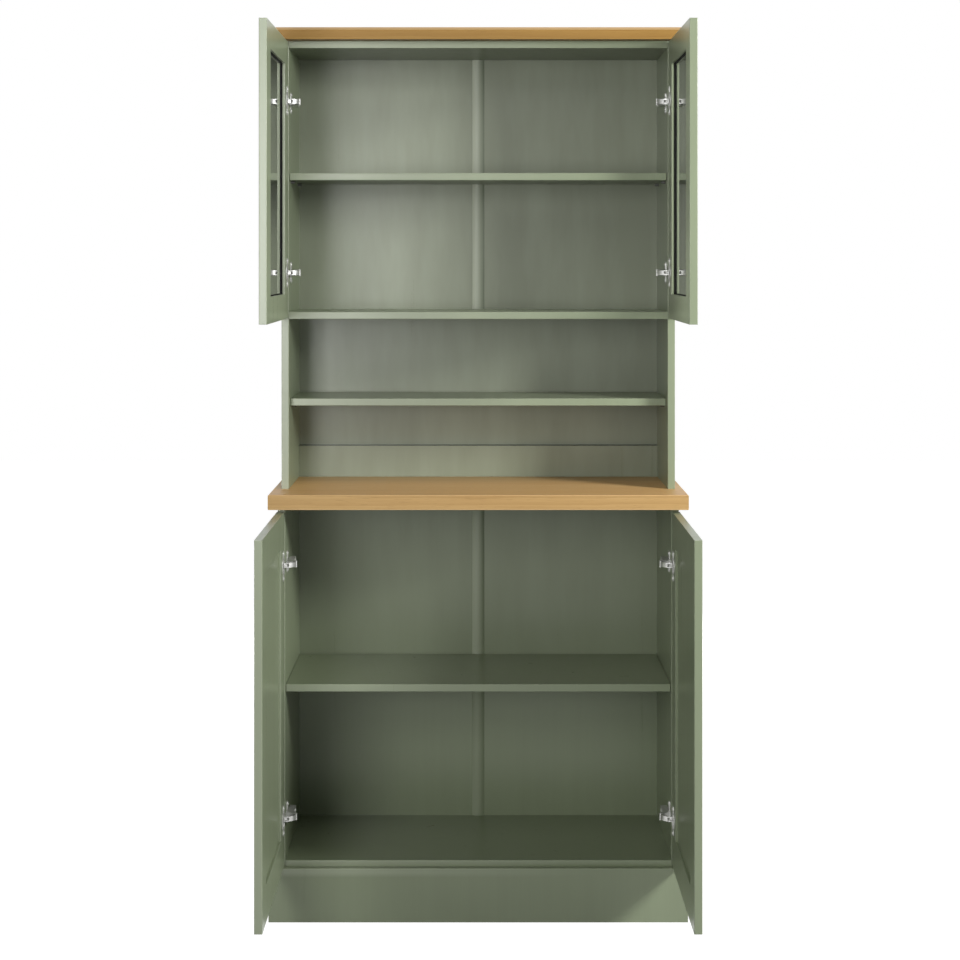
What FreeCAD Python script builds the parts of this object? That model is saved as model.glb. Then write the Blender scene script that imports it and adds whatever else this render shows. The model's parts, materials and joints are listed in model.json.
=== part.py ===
import FreeCAD, Part
import math
import os

# A two-part kitchen buffet: a low base cupboard with an oak worktop, and a shallower hutch on it
# with a glazed cupboard above an open niche. All four doors stand open by a right angle.
# Millimetres. X runs to the right, Y to the back, Z up. The pieces are built with Y from the plane
# of the base cupboard's front edges, and are moved back together as they are written, so that
# the origin is on the floor under the middle of the whole as it stands with its doors open.

V = FreeCAD.Vector

# Overall sizes
total_height = 1800.0
top_width = 840.0
top_side_overhang = 17.0
base_depth = 330.0

# Boards
board = 15.0
worktop_thick = 30.0
worktop_overhang = 30.0
cornice_thick = 25.0
cornice_overhang = 30.0
upper_setback = 76.0
arris = 1.0
worktop_arris = 2.0
cornice_chamfer = 5.5

# Heights of the top faces, from the floor
plinth_height = 108.0
plinth_lap = 3.0
plinth_thick = 15.0
base_shelf_top = 471.0
worktop_top = 857.0
niche_rail_height = 67.0
niche_shelf_top = 1040.0
cupboard_bottom_top = 1220.0
cupboard_shelf_top = 1505.0

# Loose shelves
shelf_side_clearance = 1.0
shelf_back_clearance = 1.0
base_shelf_recess = 12.0
cupboard_shelf_recess = 15.0
niche_shelf_recess = 35.0

# Stretchers under the worktop and behind the plinth
top_rail_depth = 80.0
top_rail_set_back = 100.0
top_rail_cam_inset = 20.0
top_rail_cam_pitch = 40.0
plinth_back_rail_inset = 60.0

# Thin back panels and the strip that joins their halves
back_thick = 3.0
back_groove_depth = 6.0
back_groove_play = 0.2
back_inset = 11.0
strip_width = 26.0
strip_crown = 3.0
strip_lip = 0.8
strip_web = 1.5
strip_play = 0.3

# Shelf pins
pin_radius = 2.5
pin_in_panel = 8.0
pin_head_radius = 3.5
pin_head_length = 8.0
pin_flat = 2.0
pin_play = 0.1
pin_inset = 40.0

# Dowels and cam fittings
dowel_radius = 4.0
dowel_in_side = 10.0
dowel_in_end = 20.0
dowel_play = 0.1
cam_radius = 7.5
cam_height = 11.0
cam_setback = 24.0
cam_bolt_radius = 3.0
cam_play = 0.15
fitting_inset = 50.0
fitting_pitch = 32.0
upright_dowel_inset = 100.0
hutch_dowel_inset = 25.0
plinth_dowel_inset = 30.0

# Screws that hold the worktop, the hutch's rail and the plinth returns from inside
worktop_screw_line = 190.0
worktop_screw_bite = 15.0
hutch_screw_bite = 25.0
plinth_screw_bite = 10.0
plinth_screw_inset = 90.0
cutter_overrun = 1.0

# Doors
door_thick = 15.0
door_gap = 2.0
door_side_reveal = 1.0
door_centre_gap = 3.0
stile_width = 65.0
lower_rail_width = 67.0
upper_rail_width = 50.0
lower_panel_thick = 5.0
glass_thick = 4.0
infill_groove = 9.0
infill_play = 0.8
glass_play = 0.2
glass_set_out = 2.0
lower_door_foot_gap = 3.0
lower_door_head_gap = 6.0
upper_door_head_gap = 3.0
upper_door_foot_lap = 13.0

# Door swing: where the open door stands
open_angle = 90.0
open_face_reveal = 1.0
open_edge_gap = 6.0

# Concealed hinges
lower_hinge_from_foot = 96.0
lower_hinge_from_head = 106.0
upper_hinge_from_foot = 93.0
upper_hinge_from_head = 122.0
cup_radius = 17.5
cup_depth = 11.5
cup_wall = 0.9
cup_setback = 22.5
cup_play = 0.1
boss_start = 6.0
boss_width = 3.0
boss_play = 0.3
boss_sink = 1.0
flange_thick = 1.2
flange_half_width = 6.5
flange_rim = 1.0
flange_screw_pitch = 48.0
screw_radius = 1.75
screw_head_radius = 3.6
screw_crown_radius = 2.2
screw_head_height = 1.4
screw_rim_height = 0.6
screw_length = 9.0
screw_play = 0.1
cross_reach = 1.9
cross_width = 0.8
cross_depth = 0.9
plate_line = 37.0
plate_pitch = 32.0
plate_thick = 2.0
plate_half_width = 6.5
saddle_start = 20.0
saddle_end = 56.0
arm_width = 13.0
arm_sheet = 1.2
arm_stand_off = 16.0
arm_edge_stand_off = 4.0
arm_end = 62.0
arm_play = 0.3
arm_lean = 150.0
arm_overrun = 4.0
arm_screw_lines = (28.0, 48.0)
nose_radius = 2.9
mouth_reach = 6.0
link_pin_radius = 1.25
link_pin_play = 0.05
pin_hole_play = 0.02
link_sheet = 2.0
link_play = 0.4
outer_eye = 2.0
inner_eye = 1.6
pin_eye = 2.25
fork_start = 0.72
fork_play = 0.4
fork_cut_depth = 16.0

# Places of the link pins on the arm, and of the free ends of the links beside the open door's
# face, each as inward distance from the side panel's inner face and depth behind its front edge
outer_pin = (21.5, 2.7)
inner_pin = (16.0, 8.0)
outer_end = (-0.2, -16.2)
inner_end = (-0.2, -15.4)
outer_bow = 5.5
inner_bow = 3.0
outer_link_half_width = arm_width / 2 - arm_sheet - link_play
inner_link_half_width = 2.8

# Places worked out from the sizes above
top_half = top_width / 2
carcass_half = top_half - top_side_overhang
inner_half = carcass_half - board
side_middle = carcass_half - board / 2
worktop_bottom = worktop_top - worktop_thick
cornice_bottom = total_height - cornice_thick
bottom_panel_base = plinth_height - plinth_lap
bottom_panel_top = bottom_panel_base + board
back_face = base_depth - back_inset
strip_reach = strip_play / 2 + strip_lip + strip_crown
hinge_edge = carcass_half - door_side_reveal
open_inner_face = inner_half + open_face_reveal
axis_x = (open_inner_face - door_gap + open_edge_gap + hinge_edge) / 2
axis_y = (open_inner_face - door_gap - open_edge_gap - hinge_edge) / 2
door_width = hinge_edge - door_centre_gap / 2
open_reach = open_edge_gap + door_width
origin_shift = (open_reach - base_depth) / 2


def block(x0, x1, y0, y1, z0, z1):
    """A board with its faces on the given planes."""
    return Part.makeBox(x1 - x0, y1 - y0, z1 - z0, V(x0, y0, z0))


def ease(solid, radius, chosen):
    """Round the edges whose middle point satisfies the test."""
    edges = [edge for edge in solid.Edges if chosen(edge.CenterOfMass)]
    return solid.makeFillet(radius, edges)


def bevel(solid, size, chosen):
    """Cut a flat bevel along the edges whose middle point satisfies the test."""
    edges = [edge for edge in solid.Edges if chosen(edge.CenterOfMass)]
    return solid.makeChamfer(size, edges)


def mirrored(shape):
    """The same shape on the other side of the centreline."""
    return shape.mirror(V(0, 0, 0), V(1, 0, 0))


def both_sides(shape):
    """A shape on the right with its twin on the left."""
    return [shape, mirrored(shape)]


def rod(radius, start, direction, length):
    """A round bar from a start point along a direction."""
    return Part.makeCylinder(radius, length, start, direction)


def save(name, pieces):
    """Write one sub-part, one or several solids, to its own file."""
    shape = pieces[0] if len(pieces) == 1 else Part.makeCompound(pieces)
    solids = len(shape.Solids)
    if not shape.isValid() or solids != len(pieces):
        raise ValueError(f"{name}: {solids} solids, valid {shape.isValid()}")
    placed = shape.translated(V(0, origin_shift, 0))
    placed.exportStep(f"parts/{name}.step")
    print(f"{name}: {solids} solids, {shape.Volume / 1000:.1f} cm3")


# Fittings that join the boards: a dowel and a cam with its bolt at each end of a board

class Fastening:
    """The dowels and cam fittings between the end of a board and the right-hand side panel."""

    def __init__(self):
        self.dowels = []
        self.cams = []
        self.end_cuts = []
        self.side_cuts = []

    def pegged(self, joint, direction, end_cuts, face_cuts):
        """A dowel through the joint between a board's end and another's face, deeper in the end."""
        start = joint - direction * dowel_in_end
        length = dowel_in_end + dowel_in_side
        self.dowels.append(rod(dowel_radius, start, direction, length))
        radius = dowel_radius + dowel_play
        hole_start = start - direction * dowel_play
        end_cuts.append(rod(radius, hole_start, direction, dowel_in_end + dowel_play))
        face_cuts.append(rod(radius, start, direction, length + dowel_play))

    def dowel(self, y, z):
        """A dowel from the end of a board into the side panel."""
        self.pegged(V(inner_half, y, z), V(1, 0, 0), self.end_cuts, self.side_cuts)

    def edge_dowel(self, joint, direction):
        """A dowel from an edge of the side panel into a board that meets it. Returns that board's hole."""
        board_cuts = []
        self.pegged(joint, direction, self.side_cuts, board_cuts)
        return board_cuts[0]

    def cam(self, y, z, face_z, upward):
        """A cam let into the board's face, with its bolt screwed into the side panel."""
        centre = inner_half - cam_setback
        away = V(0, 0, 1 if upward else -1)
        sunk = V(centre, y, face_z) - away * cam_height
        drum = rod(cam_radius, sunk, away, cam_height)
        bolt = rod(cam_bolt_radius, V(centre, y, z), V(1, 0, 0), cam_setback + dowel_in_side)
        self.cams.append(drum.fuse(bolt).removeSplitter())
        radius = cam_bolt_radius + cam_play
        pocket = rod(cam_radius + cam_play, sunk - away * cam_play, away, cam_height + cutter_overrun)
        channel = rod(radius, V(centre, y, z), V(1, 0, 0), cam_setback)
        self.end_cuts.append(pocket.fuse(channel))
        length = cam_setback + dowel_in_side + cam_play
        self.side_cuts.append(rod(radius, V(centre, y, z), V(1, 0, 0), length))

    def cut_end(self, solid):
        """The board with the pockets for its fittings at both ends."""
        cutters = [twin for cutter in self.end_cuts for twin in both_sides(cutter)]
        return solid.cut(cutters)

    def cut_side(self, solid):
        """The right-hand side panel with the holes for the fittings."""
        return solid.cut(self.side_cuts)


base_fastening = Fastening()
upper_fastening = Fastening()


def fastened_board(fastening, y0, y1, z0, fitting_ys, cam_upward):
    """A board between the side panels, held by a dowel and a cam near each given depth."""
    solid = block(-inner_half, inner_half, y0, y1, z0, z0 + board)
    own = Fastening()
    middle = z0 + board / 2
    face = z0 + board if cam_upward else z0
    for y, step in fitting_ys:
        own.cam(y, middle, face, cam_upward)
        own.dowel(y + step, middle)
    for group in ("dowels", "cams", "end_cuts", "side_cuts"):
        getattr(fastening, group).extend(getattr(own, group))
    return own.cut_end(solid)


def deep_fittings(front, back):
    """Places of the fittings near the front and the back of a deep board."""
    return [(front + fitting_inset, fitting_pitch), (back - fitting_inset, -fitting_pitch)]


# Shelves and the pins that carry them

shelf_pin_solids = []
base_pin_cuts = []
upper_pin_cuts = []


def shelf_pin(y, underside):
    """A pin with a flat-topped head, and the hole for it in the right-hand side panel."""
    centre_z = underside - pin_flat
    start = V(inner_half - pin_head_length, y, centre_z)
    head = rod(pin_head_radius, start, V(1, 0, 0), pin_head_length)
    above = block(start.x - cutter_overrun, inner_half + cutter_overrun, y - board, y + board,
                  underside, underside + board)
    shank = rod(pin_radius, V(inner_half - cutter_overrun, y, centre_z), V(1, 0, 0),
                pin_in_panel + cutter_overrun)
    hole = rod(pin_radius + pin_play, V(inner_half, y, centre_z), V(1, 0, 0), pin_in_panel + pin_play)
    return head.cut(above).fuse(shank).removeSplitter(), hole


def loose_shelf(front, top, pin_cuts):
    """An adjustable shelf on four pins."""
    half = inner_half - shelf_side_clearance
    back = back_face - strip_reach - shelf_back_clearance
    solid = block(-half, half, front, back, top - board, top)
    solid = ease(solid, arris, lambda p: p.y < front + 0.1 and abs(p.x) < 1)
    for y in (front + pin_inset, back - pin_inset):
        pin, hole = shelf_pin(y, top - board)
        shelf_pin_solids.extend(both_sides(pin))
        pin_cuts.append(hole)
    return solid


# Thin back panels with the strip between their halves

def back_half(z0, z1):
    """The right half of a thin back, from the joining strip into the side panel's groove."""
    inner = strip_web / 2 + strip_play
    outer = inner_half + back_groove_depth - back_groove_play
    return block(inner, outer, back_face, back_face + back_thick, z0, z1)


def joining_strip(z0, z1):
    """An H-shaped strip with a rounded face, seen from inside the cupboard."""
    half = strip_width / 2
    face = back_face - strip_play / 2
    front = face - strip_lip
    crown = Part.Arc(V(half, front, z0), V(0, front - strip_crown, z0), V(-half, front, z0)).toShape()
    corners = [V(-half, front, z0), V(-half, face, z0), V(half, face, z0), V(half, front, z0)]
    cover = Part.Face(Part.Wire([crown] + [Part.makeLine(a, b) for a, b in zip(corners, corners[1:])]))
    rear = back_face + back_thick + strip_play / 2
    height = z1 - z0
    web = block(-strip_web / 2, strip_web / 2, face, rear + strip_lip, z0, z1)
    flange = block(-half, half, rear, rear + strip_lip, z0, z1)
    return cover.extrude(V(0, 0, height)).fuse([web, flange]).removeSplitter()


# Carcass side panels

def groove_for_back(z0, z1):
    """The cutter for the groove that holds the thin back in the right-hand side panel."""
    return block(inner_half, inner_half + back_groove_depth, back_face,
                 back_face + back_thick + back_groove_play, z0, z1)


def side_panel(front, z0, z1, fastening, pin_cuts, hinge_heights):
    """A right-hand side panel with its groove, and its holes for pins, fittings and hinges."""
    solid = block(inner_half, carcass_half, front, base_depth, z0, z1)
    solid = ease(solid, arris, lambda p: p.y < front + 0.1 and abs(p.z - (z0 + z1) / 2) < 1)
    solid = solid.cut([groove_for_back(z0, z1)] + pin_cuts)
    solid = fastening.cut_side(solid)
    screw_holes = [plate_screw_hole(front, height, end) for height in hinge_heights for end in (-1, 1)]
    return solid.cut(screw_holes)


# Doors, built closed on the right and then swung open about the hinge line

def swung(shape, front):
    """A closed right-hand door piece turned to where it stands when open."""
    turned = shape.copy()
    turned.rotate(V(axis_x, front + axis_y, 0), V(0, 0, 1), open_angle)
    return turned


def screw(head, direction, length):
    """A cross-headed pan screw whose head rests on a plane at the given point."""
    profile = [
        V(0, 0, screw_head_height),
        V(screw_crown_radius, 0, screw_head_height),
        V(screw_head_radius, 0, screw_rim_height),
        V(screw_head_radius, 0, 0),
        V(screw_radius, 0, 0),
        V(screw_radius, 0, -length + screw_radius),
        V(0, 0, -length),
    ]
    face = Part.Face(Part.makePolygon(profile + profile[:1]))
    half = cross_width / 2
    foot = screw_head_height - cross_depth
    cross = [block(-x, x, -y, y, foot, screw_head_height + cutter_overrun)
             for x, y in ((cross_reach, half), (half, cross_reach))]
    solid = face.revolve(V(0, 0, 0), V(0, 0, 1), 360).cut(cross)
    solid.Placement = FreeCAD.Placement(head, FreeCAD.Rotation(V(0, 0, 1), direction))
    return solid


def screw_hole(head, direction, length):
    """The hole that a screw of this length goes into."""
    return rod(screw_radius + screw_play, head, direction * -1, length + screw_play)


class Door:
    """A framed right-hand door with two concealed hinges, in its closed place."""

    def __init__(self, front, z0, z1, rail_width, infill_thick, play, set_out, hinge_insets):
        self.front = front
        self.z0 = z0
        self.z1 = z1
        self.rail_width = rail_width
        self.infill_thick = infill_thick
        self.play = play
        self.y_in = front - door_gap
        self.y_out = self.y_in - door_thick
        self.groove_y0 = self.y_in - door_thick / 2 - infill_thick / 2 - set_out
        self.groove_y1 = self.groove_y0 + infill_thick
        self.left = hinge_edge - door_width
        self.heights = (z0 + hinge_insets[0], z1 - hinge_insets[1])
        self.cup_x = hinge_edge - cup_setback

    def eased(self, solid, x_edge):
        """The long outer arrises of a stile rounded over."""
        middle = (self.z0 + self.z1) / 2
        return ease(solid, arris, lambda p: abs(p.x - x_edge) < 0.1 and abs(p.z - middle) < 1)

    def stiles(self):
        """The two uprights, grooved along their inner edges, the outer one bored for the cups."""
        inner = block(self.left, self.left + stile_width, self.y_out, self.y_in, self.z0, self.z1)
        outer = block(hinge_edge - stile_width, hinge_edge, self.y_out, self.y_in, self.z0, self.z1)
        inner = self.eased(inner, self.left)
        outer = self.eased(outer, hinge_edge)
        groove = block(self.left + stile_width - infill_groove, hinge_edge - stile_width + infill_groove,
                       self.groove_y0, self.groove_y1, self.z0, self.z1)
        bores = []
        for height in self.heights:
            centre = V(self.cup_x, self.y_in, height)
            bores.append(rod(cup_radius + cup_play, centre, V(0, -1, 0), cup_depth + cup_play))
            for end in (-1, 1):
                start = centre + V(0, 0, end * flange_screw_pitch / 2)
                bores.append(rod(screw_radius + screw_play, start, V(0, -1, 0), screw_length + screw_play))
        return [inner.cut(groove), outer.cut([groove] + bores)]

    def rail(self, z0, z1, groove_z0, groove_z1):
        """A cross rail with a tongue at each end and a groove along its inner edge."""
        x0 = self.left + stile_width
        x1 = hinge_edge - stile_width
        solid = block(x0, x1, self.y_out, self.y_in, z0, z1)
        tongue = block(x0 - infill_groove, x1 + infill_groove, self.groove_y0, self.groove_y1, z0, z1)
        groove = block(x0 - infill_groove, x1 + infill_groove, self.groove_y0, self.groove_y1,
                       groove_z0, groove_z1)
        return solid.fuse(tongue).cut(groove).removeSplitter()

    def rails(self):
        """The bottom rail and the top rail."""
        foot_top = self.z0 + self.rail_width
        head_foot = self.z1 - self.rail_width
        return [
            self.rail(self.z0, foot_top, foot_top - infill_groove, foot_top),
            self.rail(head_foot, self.z1, head_foot, head_foot + infill_groove),
        ]

    def infill(self):
        """The thin panel or the pane, let into the grooves all round."""
        reach = infill_groove - infill_play
        side = self.play / 2
        return block(self.left + stile_width - reach, hinge_edge - stile_width + reach,
                     self.groove_y0 + side, self.groove_y1 - side,
                     self.z0 + self.rail_width - reach, self.z1 - self.rail_width + reach)

    def bosses(self, centre):
        """The two blocks in a cup that flank the ends of the links."""
        blocks = []
        for end in (-1, 1):
            z0, z1 = sorted(centre.z + end * (outer_link_half_width + reach)
                            for reach in (boss_play, boss_play + boss_width))
            blocks.append(block(centre.x + boss_start, centre.x + cup_radius,
                                self.y_in - cup_depth + cup_wall / 2, self.y_in - boss_sink, z0, z1))
        return blocks

    def cup(self, height):
        """The hinge cup with its two-eared flange, lying on the door's inner face."""
        centre = V(self.cup_x, self.y_in, height)
        towards = V(0, 1, 0)
        shell = rod(cup_radius, centre - towards * cup_depth, towards, cup_depth)
        rim = rod(cup_radius + flange_rim, centre, towards, flange_thick)
        half = flange_half_width
        ears = block(centre.x - half, centre.x + half, self.y_in, self.y_in + flange_thick,
                     height - flange_screw_pitch / 2, height + flange_screw_pitch / 2)
        ends = [rod(half, centre + V(0, 0, end * flange_screw_pitch / 2), towards, flange_thick)
                for end in (-1, 1)]
        bowl = rod(cup_radius - cup_wall, centre - towards * (cup_depth - cup_wall), towards, cup_depth * 2)
        holes = [rod(screw_radius + screw_play, centre + V(0, 0, end * flange_screw_pitch / 2), towards,
                     flange_thick) for end in (-1, 1)]
        bosses = [boss.common(shell) for boss in self.bosses(centre)]
        pressed = shell.fuse([rim, ears] + ends).cut([bowl] + holes)
        return pressed.fuse(bosses).removeSplitter()

    def cups(self):
        return [self.cup(height) for height in self.heights]

    def cup_screws(self):
        """The four screws that hold the two flanges."""
        return [screw(V(self.cup_x, self.y_in + flange_thick, height + end * flange_screw_pitch / 2),
                      V(0, 1, 0), screw_length + flange_thick)
                for height in self.heights for end in (-1, 1)]


# The fixed half of a concealed hinge: mounting plate, arm and pins, on the right-hand side panel

def plate_screw_hole(front, height, end):
    """The hole in the side panel for one screw of a mounting plate."""
    start = V(inner_half, front + plate_line, height + end * plate_pitch / 2)
    return screw_hole(start, V(-1, 0, 0), screw_length)


def arm_screw_heads(front, height):
    """Where the two screws of an arm rest on its back."""
    return [V(inner_half - arm_stand_off, front + line, height) for line in arm_screw_lines]


def mounting_plate(front, height):
    """A winged plate with a raised saddle that carries the arm."""
    y = front + plate_line
    x = inner_half - plate_thick
    half = plate_half_width
    wings = block(x, inner_half, y - half, y + half, height - plate_pitch / 2, height + plate_pitch / 2)
    tips = [rod(half, V(x, y, height + end * plate_pitch / 2), V(1, 0, 0), plate_thick) for end in (-1, 1)]
    half_saddle = arm_width / 2 - arm_sheet - arm_play
    saddle = block(inner_half - arm_stand_off + arm_sheet, inner_half, front + saddle_start,
                   front + saddle_end, height - half_saddle, height + half_saddle)
    saddle = ease(saddle, arris, lambda p: p.x < x - 1 and abs(p.z - height) < 0.1)
    holes = [screw_hole(V(x, y, height + end * plate_pitch / 2), V(-1, 0, 0), plate_thick)
             for end in (-1, 1)]
    holes += [screw_hole(head, V(-1, 0, 0), screw_length) for head in arm_screw_heads(front, height)]
    return wings.fuse(tips + [saddle]).cut(holes).removeSplitter()


def at_panel(front, place, height):
    """A point given by its distance in from the side panel's face and behind its front edge."""
    inward, depth = place
    return V(inner_half - inward, front + depth, height)


def arm_outline(front, z, inset, overrun):
    """The arm's side view: a straight channel that bends inwards to a rounded nose.

    Inset and overrun give the hollow in it, which runs out at the open edge and the rear end.
    """
    nose = at_panel(front, outer_pin, z)
    radius = nose_radius - inset
    back_x = inner_half - arm_stand_off + inset
    edge_x = inner_half - arm_edge_stand_off + overrun
    rear_y = front + arm_end + overrun
    start, middle, end = [nose + V(math.cos(turn), math.sin(turn), 0) * radius
                          for turn in map(math.radians, (arm_lean, arm_lean + 90, arm_lean + 180))]
    nose_arc = Part.Arc(start, middle, end).toShape()
    points = [
        end,
        V(edge_x, front + arm_stand_off - overrun, z),
        V(edge_x, rear_y, z),
        V(back_x, rear_y, z),
        V(back_x, front + arm_stand_off, z),
        start,
    ]
    return Part.Face(Part.Wire([nose_arc] + [Part.makeLine(a, b) for a, b in zip(points, points[1:])]))


def hinge_arm(front, height):
    """The arm as a bent channel, open towards the side panel and at its nose."""
    half = arm_width / 2
    body = arm_outline(front, height - half, 0, 0).extrude(V(0, 0, arm_width))
    hollow_width = arm_width - 2 * arm_sheet
    hollow = arm_outline(front, height - half + arm_sheet, arm_sheet, arm_overrun)
    hollow = hollow.extrude(V(0, 0, hollow_width))
    nose = at_panel(front, outer_pin, height)
    mouth = block(nose.x - mouth_reach, inner_half, front - mouth_reach, nose.y + nose_radius,
                  height - hollow_width / 2, height + hollow_width / 2)
    pins = [rod(link_pin_radius + pin_hole_play, at_panel(front, place, height - arm_width),
                V(0, 0, 1), arm_width * 2) for place in (outer_pin, inner_pin)]
    holes = [screw_hole(head, V(-1, 0, 0), arm_sheet) for head in arm_screw_heads(front, height)]
    return body.cut([hollow, mouth] + pins + holes).removeSplitter()


def arm_pin(front, place, height):
    """A pin across the arm's cheeks that a link turns on."""
    return rod(link_pin_radius, at_panel(front, place, height - arm_width / 2), V(0, 0, 1), arm_width)


def link_strip(start, end, bow, width):
    """A bowed strip of even thickness between two points, extruded to its width."""
    along = end - start
    across = V(along.y, -along.x, 0)
    across.normalize()
    middle = (start + end) * 0.5 + across * bow
    inner_face = [point - across * (link_sheet / 2) for point in (start, middle, end)]
    outer_face = [point + across * (link_sheet / 2) for point in (end, middle, start)]
    edges = [
        Part.Arc(*inner_face).toShape(),
        Part.makeLine(inner_face[2], outer_face[0]),
        Part.Arc(*outer_face).toShape(),
        Part.makeLine(outer_face[2], inner_face[0]),
    ]
    return Part.Face(Part.Wire(edges)).extrude(V(0, 0, width))


def link(front, pin, end, bow, half_width, end_eye, height):
    """A pressed link that turns on its arm pin and ends in a round eye in the cup."""
    base = V(0, 0, height - half_width)
    start = at_panel(front, pin, 0) + base
    finish = at_panel(front, end, 0) + base
    width = half_width * 2
    eyes = [rod(pin_eye, start, V(0, 0, 1), width), rod(end_eye, finish, V(0, 0, 1), width)]
    bore = rod(link_pin_radius + link_pin_play, start, V(0, 0, 1), width)
    return link_strip(start, finish, bow, width).fuse(eyes).cut(bore).removeSplitter()


def outer_link(front, height):
    """The broad link at the front of the arm, forked towards the cup to pass the inner link."""
    solid = link(front, outer_pin, outer_end, outer_bow, outer_link_half_width, outer_eye, height)
    start = at_panel(front, outer_pin, height)
    along = at_panel(front, outer_end, height) - start
    slot_half = inner_link_half_width + fork_play
    slot = Part.makeBox(along.Length, fork_cut_depth, slot_half * 2,
                        V(along.Length * fork_start, -fork_cut_depth / 2, -slot_half))
    slot.Placement = FreeCAD.Placement(start, FreeCAD.Rotation(V(1, 0, 0), along))
    return solid.cut(slot).removeSplitter()


def inner_link(front, height):
    """The narrow link behind the outer one."""
    return link(front, inner_pin, inner_end, inner_bow, inner_link_half_width, inner_eye, height)


os.makedirs("parts", exist_ok=True)

# Base cupboard
base_front = 0.0
lower_door = Door(base_front, plinth_height + lower_door_foot_gap, worktop_bottom - lower_door_head_gap,
                  lower_rail_width, lower_panel_thick, 0.0, 0.0,
                  (lower_hinge_from_foot, lower_hinge_from_head))
upper_front = upper_setback
upper_door = Door(upper_front, cupboard_bottom_top - upper_door_foot_lap,
                  cornice_bottom - upper_door_head_gap, upper_rail_width, glass_thick, glass_play,
                  glass_set_out, (upper_hinge_from_foot, upper_hinge_from_head))

bottom_panel = fastened_board(base_fastening, base_front, back_face, bottom_panel_base,
                              deep_fittings(base_front, back_face), False)
save("base_bottom_panel", [ease(bottom_panel, arris,
                                lambda p: p.y < base_front + 0.1 and abs(p.x) < 1)])
base_back = back_half(bottom_panel_base, worktop_bottom)
save("base_back_right", [base_back])
save("base_back_left", [mirrored(base_back)])
rail_bottom = worktop_bottom - board
save("base_back_strip", [joining_strip(bottom_panel_top, rail_bottom)])
save("base_shelf", [loose_shelf(base_front + base_shelf_recess, base_shelf_top, base_pin_cuts)])

# Screws driven from inside: up into the worktop and the hutch's rail, and out into the plinth returns
down = V(0, 0, -1)
front_rail_front = base_front + top_rail_set_back
front_rail_middle = front_rail_front + top_rail_depth / 2
rear_rail_middle = back_face - top_rail_depth / 2
niche_rail_middle = back_face - board / 2
worktop_screw_run = board + worktop_screw_bite
hutch_screw_run = board + worktop_thick + hutch_screw_bite
plinth_screw_run = board + plinth_screw_bite
upward_screws = [(V(worktop_screw_line, y, rail_bottom), down, run)
                 for y, run in ((front_rail_middle, worktop_screw_run),
                                (rear_rail_middle, worktop_screw_run),
                                (niche_rail_middle, hutch_screw_run))]
upward_holes = [twin for fixing in upward_screws for twin in both_sides(screw_hole(*fixing))]
plinth_screws = [(V(inner_half, y, plinth_height / 2), V(-1, 0, 0), plinth_screw_run)
                 for y in (base_front + plinth_screw_inset, base_depth - plinth_screw_inset)]
plinth_screw_holes = [screw_hole(*fixing) for fixing in plinth_screws]
save("board_screws", [twin for fixing in upward_screws + plinth_screws
                      for twin in both_sides(screw(*fixing))])

top_rails = [
    fastened_board(base_fastening, front_rail_front, front_rail_front + top_rail_depth, rail_bottom,
                   [(front_rail_front + top_rail_cam_inset, top_rail_cam_pitch)], False),
    fastened_board(base_fastening, back_face - top_rail_depth, back_face, rail_bottom,
                   [(back_face - top_rail_cam_inset, -top_rail_cam_pitch)], False),
]
save("base_top_rails", [rail.cut(upward_holes) for rail in top_rails])

# Plinth: a front board as wide as the worktop, a return along each side and a rear stretcher
plinth_front = block(-top_half, top_half, base_front - plinth_thick, base_front, 0, plinth_height)
plinth_front = ease(plinth_front, arris,
                    lambda p: p.y < base_front - plinth_thick + 0.1 and abs(p.x) < 1
                    and p.z > plinth_height / 2)
plinth_front_holes = [base_fastening.edge_dowel(V(side_middle, base_front, z), V(0, -1, 0))
                      for z in (plinth_dowel_inset, plinth_height - plinth_dowel_inset)]
save("plinth_front", [plinth_front.cut([twin for hole in plinth_front_holes for twin in both_sides(hole)])])
plinth_return = block(carcass_half, top_half, base_front, base_depth, 0, plinth_height)
plinth_return = ease(plinth_return, arris, lambda p: p.x > top_half - 0.1 and p.z > plinth_height - 0.1)
save("plinth_sides", both_sides(plinth_return.cut(plinth_screw_holes)))
rear_y = base_depth - plinth_back_rail_inset
rear_fastening = Fastening()
for z in (plinth_dowel_inset, bottom_panel_base - plinth_dowel_inset):
    rear_fastening.dowel(rear_y - board / 2, z)
plinth_rail = block(-inner_half, inner_half, rear_y - board, rear_y, 0, bottom_panel_base)
save("plinth_back_rail", [rear_fastening.cut_end(plinth_rail)])
base_fastening.dowels.extend(rear_fastening.dowels)
base_fastening.side_cuts.extend(rear_fastening.side_cuts)

# Worktop, on dowels in the base's sides, with dowels for the hutch's sides standing in it
worktop = block(-top_half, top_half, base_front - worktop_overhang, base_depth, worktop_bottom, worktop_top)
worktop = ease(worktop, worktop_arris,
               lambda p: p.y < base_depth - 1 and not worktop_bottom + 1 < p.z < worktop_top - 1)
worktop_holes = [
    fastening.edge_dowel(V(side_middle, y, z), up)
    for fastening, z, up, ys in (
        (base_fastening, worktop_bottom, V(0, 0, 1),
         (base_front + upright_dowel_inset, base_depth - upright_dowel_inset)),
        (upper_fastening, worktop_top, V(0, 0, -1),
         (upper_front + hutch_dowel_inset, back_face - board - hutch_dowel_inset)),
    )
    for y in ys
]
worktop_holes = [twin for hole in worktop_holes for twin in both_sides(hole)]
save("worktop", [worktop.cut(worktop_holes + upward_holes)])

base_side = side_panel(base_front, 0, worktop_bottom, base_fastening, base_pin_cuts, lower_door.heights)
base_side = base_side.cut(plinth_screw_holes)
save("base_side_right", [base_side])
save("base_side_left", [mirrored(base_side)])

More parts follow.
